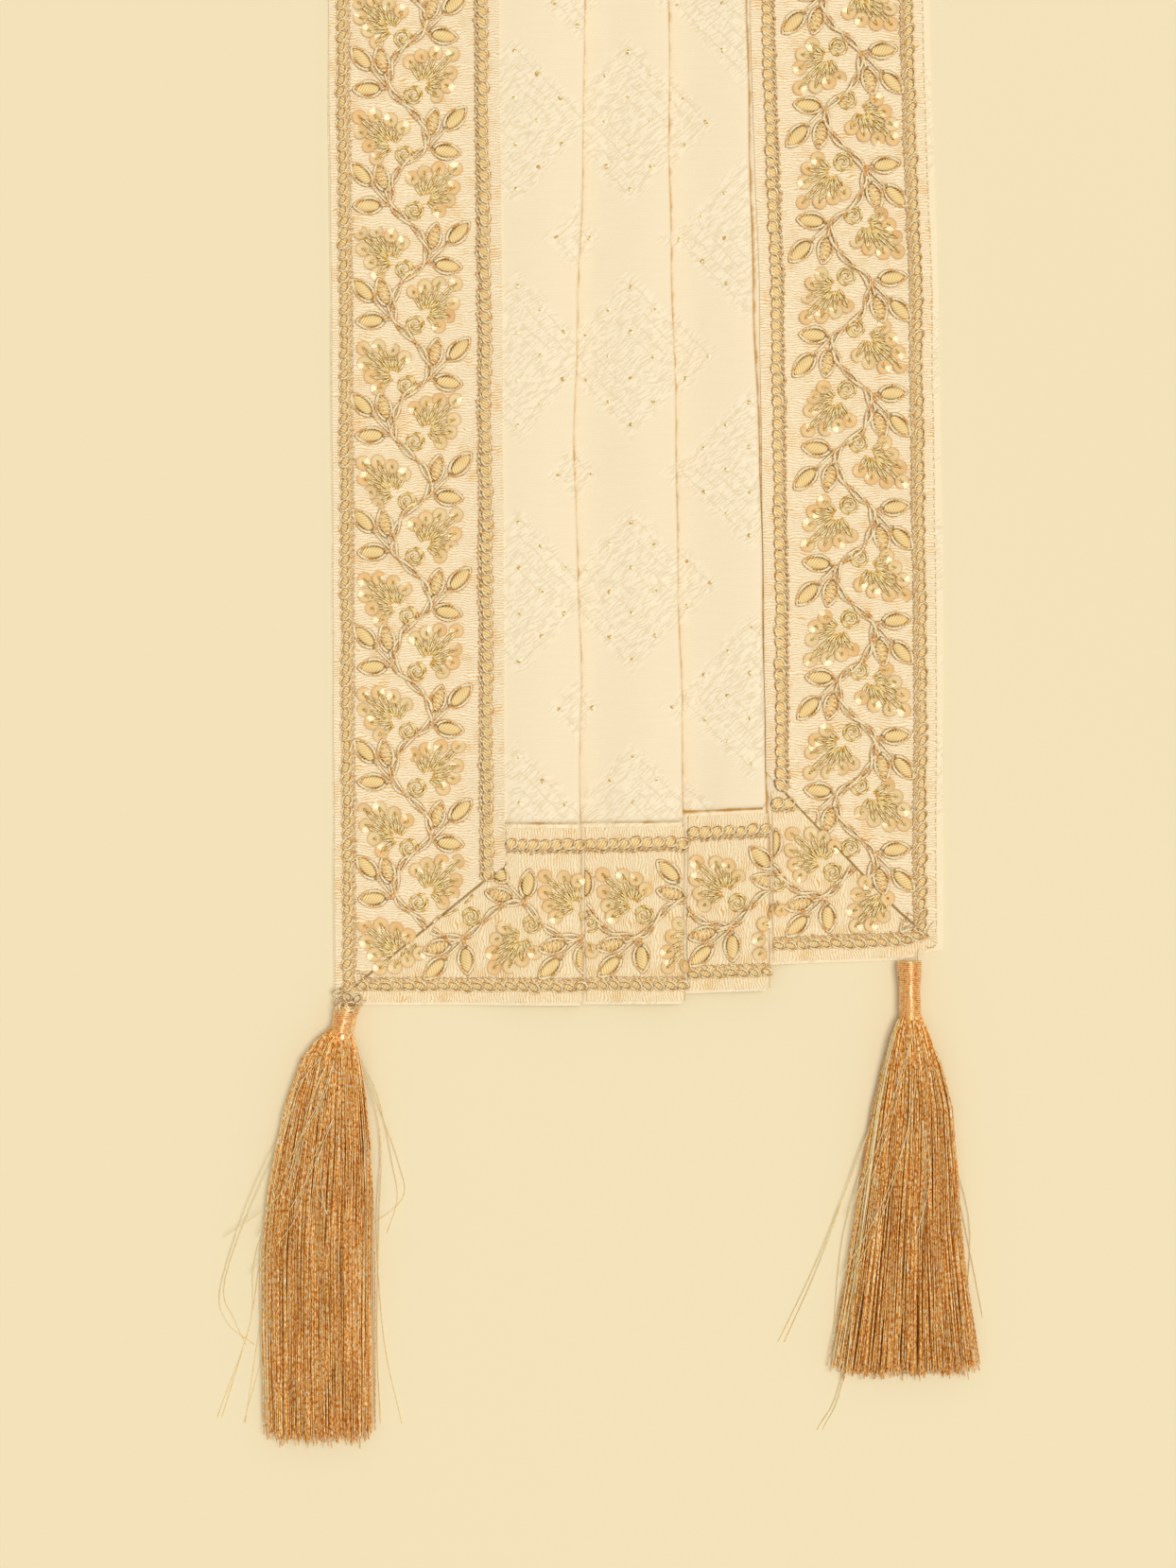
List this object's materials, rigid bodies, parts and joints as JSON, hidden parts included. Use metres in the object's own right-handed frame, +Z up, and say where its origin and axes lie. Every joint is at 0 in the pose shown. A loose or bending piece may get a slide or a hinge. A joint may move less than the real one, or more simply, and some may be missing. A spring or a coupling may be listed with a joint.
{
  "type": "dupatta stole",
  "caption": "Festive dupatta stole, folded lengthwise into knife pleats and laid flat, with embroidered lace borders and a thread tassel at each corner.",
  "frame": {"origin": "bottom centre of the laid stole's box, on the surface that it lies on", "axes": "+Y along the stole to its far hem, +X to its right with the right side of the cloth up, +Z up"},
  "size_m": [0.2346, 2.4923, 0.0089],
  "materials": {
    "ivory_jacquard": "ivory self-patterned jacquard with a soft sheen and tiny gold dots",
    "lace_net": "fine ribbed lace ground, matt, pale gold",
    "zari_thread": "twisted metallic embroidery thread, pale gold with a silvery glint",
    "sequin": "small dished translucent gold sequins",
    "tassel_thread": "copper-gold metallic thread, glossy"
  },
  "bodies": {
    "root": {"ground_left": "ivory_jacquard", "ground_pleat_2": "ivory_jacquard", "ground_pleat_3": "ivory_jacquard", "ground_right": "ivory_jacquard", "folded_layers": "ivory_jacquard", "border_left": "lace_net", "border_right": "lace_net", "hem_near_1": "lace_net", "hem_near_2": "lace_net", "hem_near_3": "lace_net", "hem_near_4": "lace_net", "hem_far_1": "lace_net", "hem_far_2": "lace_net", "hem_far_3": "lace_net", "hem_far_4": "lace_net", "tassel_near_left": "tassel_thread", "tassel_near_right": "tassel_thread", "tassel_far_left": "tassel_thread", "tassel_far_right": "tassel_thread"}
  },
  "joints": []
}
